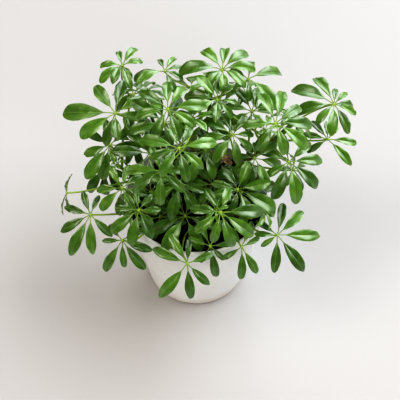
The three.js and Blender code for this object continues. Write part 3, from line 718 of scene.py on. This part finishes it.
def leaf_underside():
    """The underside of a grown leaf: paler, yellower and dull, with the side veins a little proud."""
    vein_mm, rib_mm, mottle_mm = 4.6, 1.1, 6
    vein_share, vein_height, line_paleness = 0.2, 0.4, 0.8
    material, tree, shader = new_material("leaf_underside")
    place = add_node(tree, "TexCoord").outputs["Object"]
    rib, vein = blade_lines(tree, vein_mm, rib_mm, vein_share)
    low_vein = add_node(tree, "Math", {0: vein, 1: vein_height}, operation="MULTIPLY")
    lines = add_node(tree, "Math", {0: rib, 1: low_vein}, operation="MAXIMUM")
    mottle = add_node(tree, "TexNoise", {"Vector": place, "Scale": 1000 / mottle_mm, "Detail": 3.0})
    green = add_node(tree, "MixRGB", {"Fac": mottle, "Color1": "#55802f", "Color2": "#7ea150"})
    pale = add_node(tree, "Math", {0: lines, 1: line_paleness}, operation="MULTIPLY")
    colour = add_node(tree, "MixRGB", {"Fac": pale, "Color1": green, "Color2": "#aec47c"})
    bump = add_node(tree, "Bump", {"Strength": 0.35, "Distance": 0.0003, "Height": lines})
    connect(tree, shader, {"Base Color": colour, "Roughness": 0.58, "IOR": 1.45, "Normal": bump})
    return material


def leaf_stalk():
    """Leaf stalk: smooth green skin, paler and yellower towards the hub. A leaflet's own stalk is the
    paler, the paler its blade's tone is, which follows its freshness and its painted light and shade."""
    streak_mm = 2.5
    material, tree, shader = new_material("leaf_stalk")
    place = add_node(tree, "TexCoord").outputs["Object"]
    tone = add_node(tree, "Attribute", attribute_name="tone").outputs["Fac"]
    streak = add_node(tree, "TexNoise", {"Vector": place, "Scale": 1000 / streak_mm, "Detail": 3.0})
    green = add_node(tree, "MixRGB", {"Fac": streak, "Color1": "#5a7c2a", "Color2": "#86a548"})
    pale = add_node(tree, "MapRange", {0: tone, 1: 0.2, 2: 0.9, 3: 0.15, 4: 0.8})
    colour = add_node(tree, "MixRGB", {"Fac": pale, "Color1": green, "Color2": "#a9c465"})
    bump = add_node(tree, "Bump", {"Strength": 0.2, "Distance": 0.0002, "Height": streak})
    connect(tree, shader, {"Base Color": colour, "Roughness": 0.45, "IOR": 1.45, "Normal": bump})
    return material


def withered_leaf():
    """A dried leaflet: tan and brown, wrinkled and quite dull, since its wax has cracked."""
    blotch_mm, wrinkle_mm = 5, 1.2
    material, tree, shader = new_material("withered_leaf")
    place = add_node(tree, "TexCoord").outputs["Object"]
    blotch = add_node(tree, "TexNoise", {"Vector": place, "Scale": 1000 / blotch_mm, "Detail": 4.0})
    dry = add_node(tree, "MapRange", {0: blotch, 1: 0.35, 2: 0.65, 3: 0.0, 4: 1.0})
    colour = add_node(tree, "MixRGB", {"Fac": dry, "Color1": "#5c4a34", "Color2": "#ac9a78"})
    wrinkle = add_node(tree, "TexNoise", {"Vector": place, "Scale": 1000 / wrinkle_mm, "Detail": 4.0})
    bump = add_node(tree, "Bump", {"Strength": 0.5, "Distance": 0.0004, "Height": wrinkle})
    connect(tree, shader, {"Base Color": colour, "Roughness": 0.7, "IOR": 1.45, "Normal": bump})
    return material


leaf_materials = [leaf_upper(), leaf_underside(), leaf_stalk()]
leaf_nodes = sorted(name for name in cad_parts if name.startswith("leaf_"))
stem_nodes = sorted(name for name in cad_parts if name.startswith("stem_"))
stem_solids = [read_solid(node) for node in stem_nodes]
for seed, node in enumerate(leaf_nodes):
    withered = WITHERED_LEAFLET if node == WITHERED_LEAF else None
    materials = [*leaf_materials, withered_leaf()] if node == WITHERED_LEAF else leaf_materials
    skin = leaf_skin(read_solid(node), random.Random(seed), withered)
    leaf = skin.make(node.replace("leaf", "foliage"), materials)
    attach(leaf, "root")
    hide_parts(node)

# Stems
# Nine stems that root in the soil. They are woody and grey-brown low down, green and soft at the
# top, ringed by the scars of dropped leaves, and each one ends in a tuft of young leaflets.

STEM_SIDES = 14
STEM_STEP = 0.0016
# A stem is a little thicker at each scar. The way to the next one is the spacing times this.
SCAR_RISE = 0.00028
SCAR_SPACING = 0.011
SCAR_RANGE = (0.6, 1.4)
# The growing tip above the line: how far on to the crown its last ring is, and the radii there and at
# the crown, as shares of the radius below.
TIP_SHARE = 0.6
TIP_RADII = (0.85, 0.3)
# The young leaflets of a tuft are the freshest green.
TUFT_TONES = (0.7, 1)
STEM_SEED = 100
# The bark's slot, after the three of leaf_materials.
BARK = 3


def stem_skin(solid, draw):
    """A stem from its foot in the soil to its crown, with its scars and its tuft."""
    line, radii = smooth_line(solid["line"], solid["radii"], STEM_STEP)
    crown = solid["crown"]
    tones = [(point.z - SOIL_TOP) / (crown.z - SOIL_TOP) for point in line]
    travelled = 0
    next_scar = SCAR_SPACING
    for i in range(1, len(line)):
        travelled += (line[i] - line[i - 1]).length
        if travelled > next_scar:
            radii[i] += SCAR_RISE
            next_scar += SCAR_SPACING * draw.uniform(*SCAR_RANGE)
    line += [line[-1].lerp(crown, TIP_SHARE), crown]
    radii += [radii[-1] * share for share in TIP_RADII]
    tones += [1.0] * len(TIP_RADII)
    skin = Skin()
    add_tube(skin, line, radii, STEM_SIDES, BARK, [min(1, max(0, tone)) for tone in tones])
    for leaflet in solid["leaflets"]:
        add_leaflet(skin, leaflet, draw.uniform(*TUFT_TONES), draw)
    return skin


def stem_bark():
    """Thin bark: grey-brown with pale cork specks low down, turning to smooth green skin at the top."""
    speck_mm, streak_mm = 1.4, 3
    material, tree, shader = new_material("stem_bark")
    place = add_node(tree, "TexCoord").outputs["Object"]
    height = add_node(tree, "Attribute", attribute_name="tone").outputs["Fac"]
    streak = add_node(tree, "TexNoise", {"Vector": place, "Scale": 1000 / streak_mm, "Detail": 5.0})
    bark = add_node(tree, "MixRGB", {"Fac": streak, "Color1": "#4f4233", "Color2": "#857860"})
    specks = add_node(tree, "TexVoronoi", {"Vector": place, "Scale": 1000 / speck_mm})
    speck = add_node(tree, "MapRange", {0: specks, 1: 0.12, 2: 0.3, 3: 0.5, 4: 0.0})
    specked = add_node(tree, "MixRGB", {"Fac": speck, "Color1": bark, "Color2": "#a99d80"})
    green = add_node(tree, "MapRange", {0: height, 1: 0.45, 2: 0.9, 3: 0.0, 4: 1.0})
    colour = add_node(tree, "MixRGB", {"Fac": green, "Color1": specked, "Color2": "#6a8636"})
    bump = add_node(tree, "Bump", {"Strength": 0.4, "Distance": 0.0003, "Height": streak})
    connect(tree, shader, {"Base Color": colour, "Roughness": 0.68, "Normal": bump})
    return material


stem_materials = [*leaf_materials, stem_bark()]
for seed, (node, solid) in enumerate(zip(stem_nodes, stem_solids), STEM_SEED):
    skin = stem_skin(solid, random.Random(seed))
    stem = skin.make(node.replace("stem", "branch"), stem_materials)
    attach(stem, "root")
    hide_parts(node)

# Room
# A plain pale matt floor under soft studio light: big cool softboxes to the right and behind, a small
# warm one to the left, and crossed polarised panels in front and to the left, which give no shine.

FLOOR_SIZE = 12
LIGHT_AIM = Vector((0, 0, 0.2))
# Each light: its place, its width and height, its power in watts and its colour.
LIGHTS = {
    "key_softbox": ((2.3, 0.5, 2.9), (3.0, 3.0), 88, (0.94, 0.97, 1.0)),
    "back_softbox": ((1.2, 3.0, 2.6), (3.6, 2.0), 62, (0.88, 0.95, 1.0)),
    "fill_softbox": ((-1.8, -0.4, 3.0), (1.5, 1.5), 28, (1.0, 0.97, 0.92)),
    "left_panel": ((-3.4, -1.8, 1.2), (2.4, 2.0), 22, (1.0, 0.93, 0.84)),
    "front_panel": ((0.5, -3.9, 2.3), (3.6, 3.0), 58, (1.0, 0.98, 0.96)),
}
# The room's own light is faint and warm.
ROOM_COLOUR = "#ffd9b0"
ROOM_STRENGTH = 0.14
# The camera stands in front of the plant and looks down by the pitch in degrees. The lens and the
# sensor's width are in millimetres.
CAMERA_PLACE = Vector((0.005, -0.8226, 1.206))
CAMERA_PITCH = 52
CAMERA_LENS = 90
CAMERA_SENSOR = 36


def floor_paint():
    """Matt floor paint: a pale grey with hardly any variation."""
    cloud_mm = 300
    material, tree, shader = new_material("floor_paint")
    place = add_node(tree, "TexCoord").outputs["Object"]
    cloud = add_node(tree, "TexNoise", {"Vector": place, "Scale": 1000 / cloud_mm, "Detail": 2.0})
    colour = add_node(tree, "MixRGB", {"Fac": cloud, "Color1": "#bcbcbd", "Color2": "#bfbfc0"})
    connect(tree, shader, {"Base Color": colour, "Roughness": 0.8, "Specular IOR Level": 0.2})
    return material


floor_mesh = bpy.data.meshes.new("floor")
edge = FLOOR_SIZE / 2
floor_corners = [(-edge, -edge, 0), (edge, -edge, 0), (edge, edge, 0), (-edge, edge, 0)]
floor_mesh.from_pydata(floor_corners, [], [(0, 1, 2, 3)])
floor_mesh.materials.append(floor_paint())
floor = bpy.data.objects.new("floor", floor_mesh)
bpy.context.scene.collection.objects.link(floor)

for name, (place, (width, height), watts, colour) in LIGHTS.items():
    lamp = bpy.data.lights.new(name, "AREA")
    lamp.shape = "RECTANGLE"
    lamp.size = width
    lamp.size_y = height
    lamp.energy = watts
    lamp.color = colour
    light = bpy.data.objects.new(name, lamp)
    light.location = place
    light.visible_glossy = not name.endswith("panel")
    light.rotation_euler = (LIGHT_AIM - Vector(place)).to_track_quat("-Z", "Y").to_euler()
    bpy.context.scene.collection.objects.link(light)

room = bpy.data.worlds.new("room")
room.use_nodes = True
backdrop = room.node_tree.nodes["Background"]
backdrop.inputs["Color"].default_value = linear(ROOM_COLOUR)
backdrop.inputs["Strength"].default_value = ROOM_STRENGTH
bpy.context.scene.world = room

camera_data = bpy.data.cameras.new("camera")
camera_data.lens = CAMERA_LENS
camera_data.sensor_width = CAMERA_SENSOR
camera = bpy.data.objects.new("camera", camera_data)
camera.location = CAMERA_PLACE
camera.rotation_euler = (math.radians(90 - CAMERA_PITCH), 0, 0)
bpy.context.scene.collection.objects.link(camera)
bpy.context.scene.camera = camera
# The strong contrast gives the deep shade among the leaves.
bpy.context.scene.view_settings.view_transform = "Standard"
bpy.context.scene.view_settings.look = "Very High Contrast"
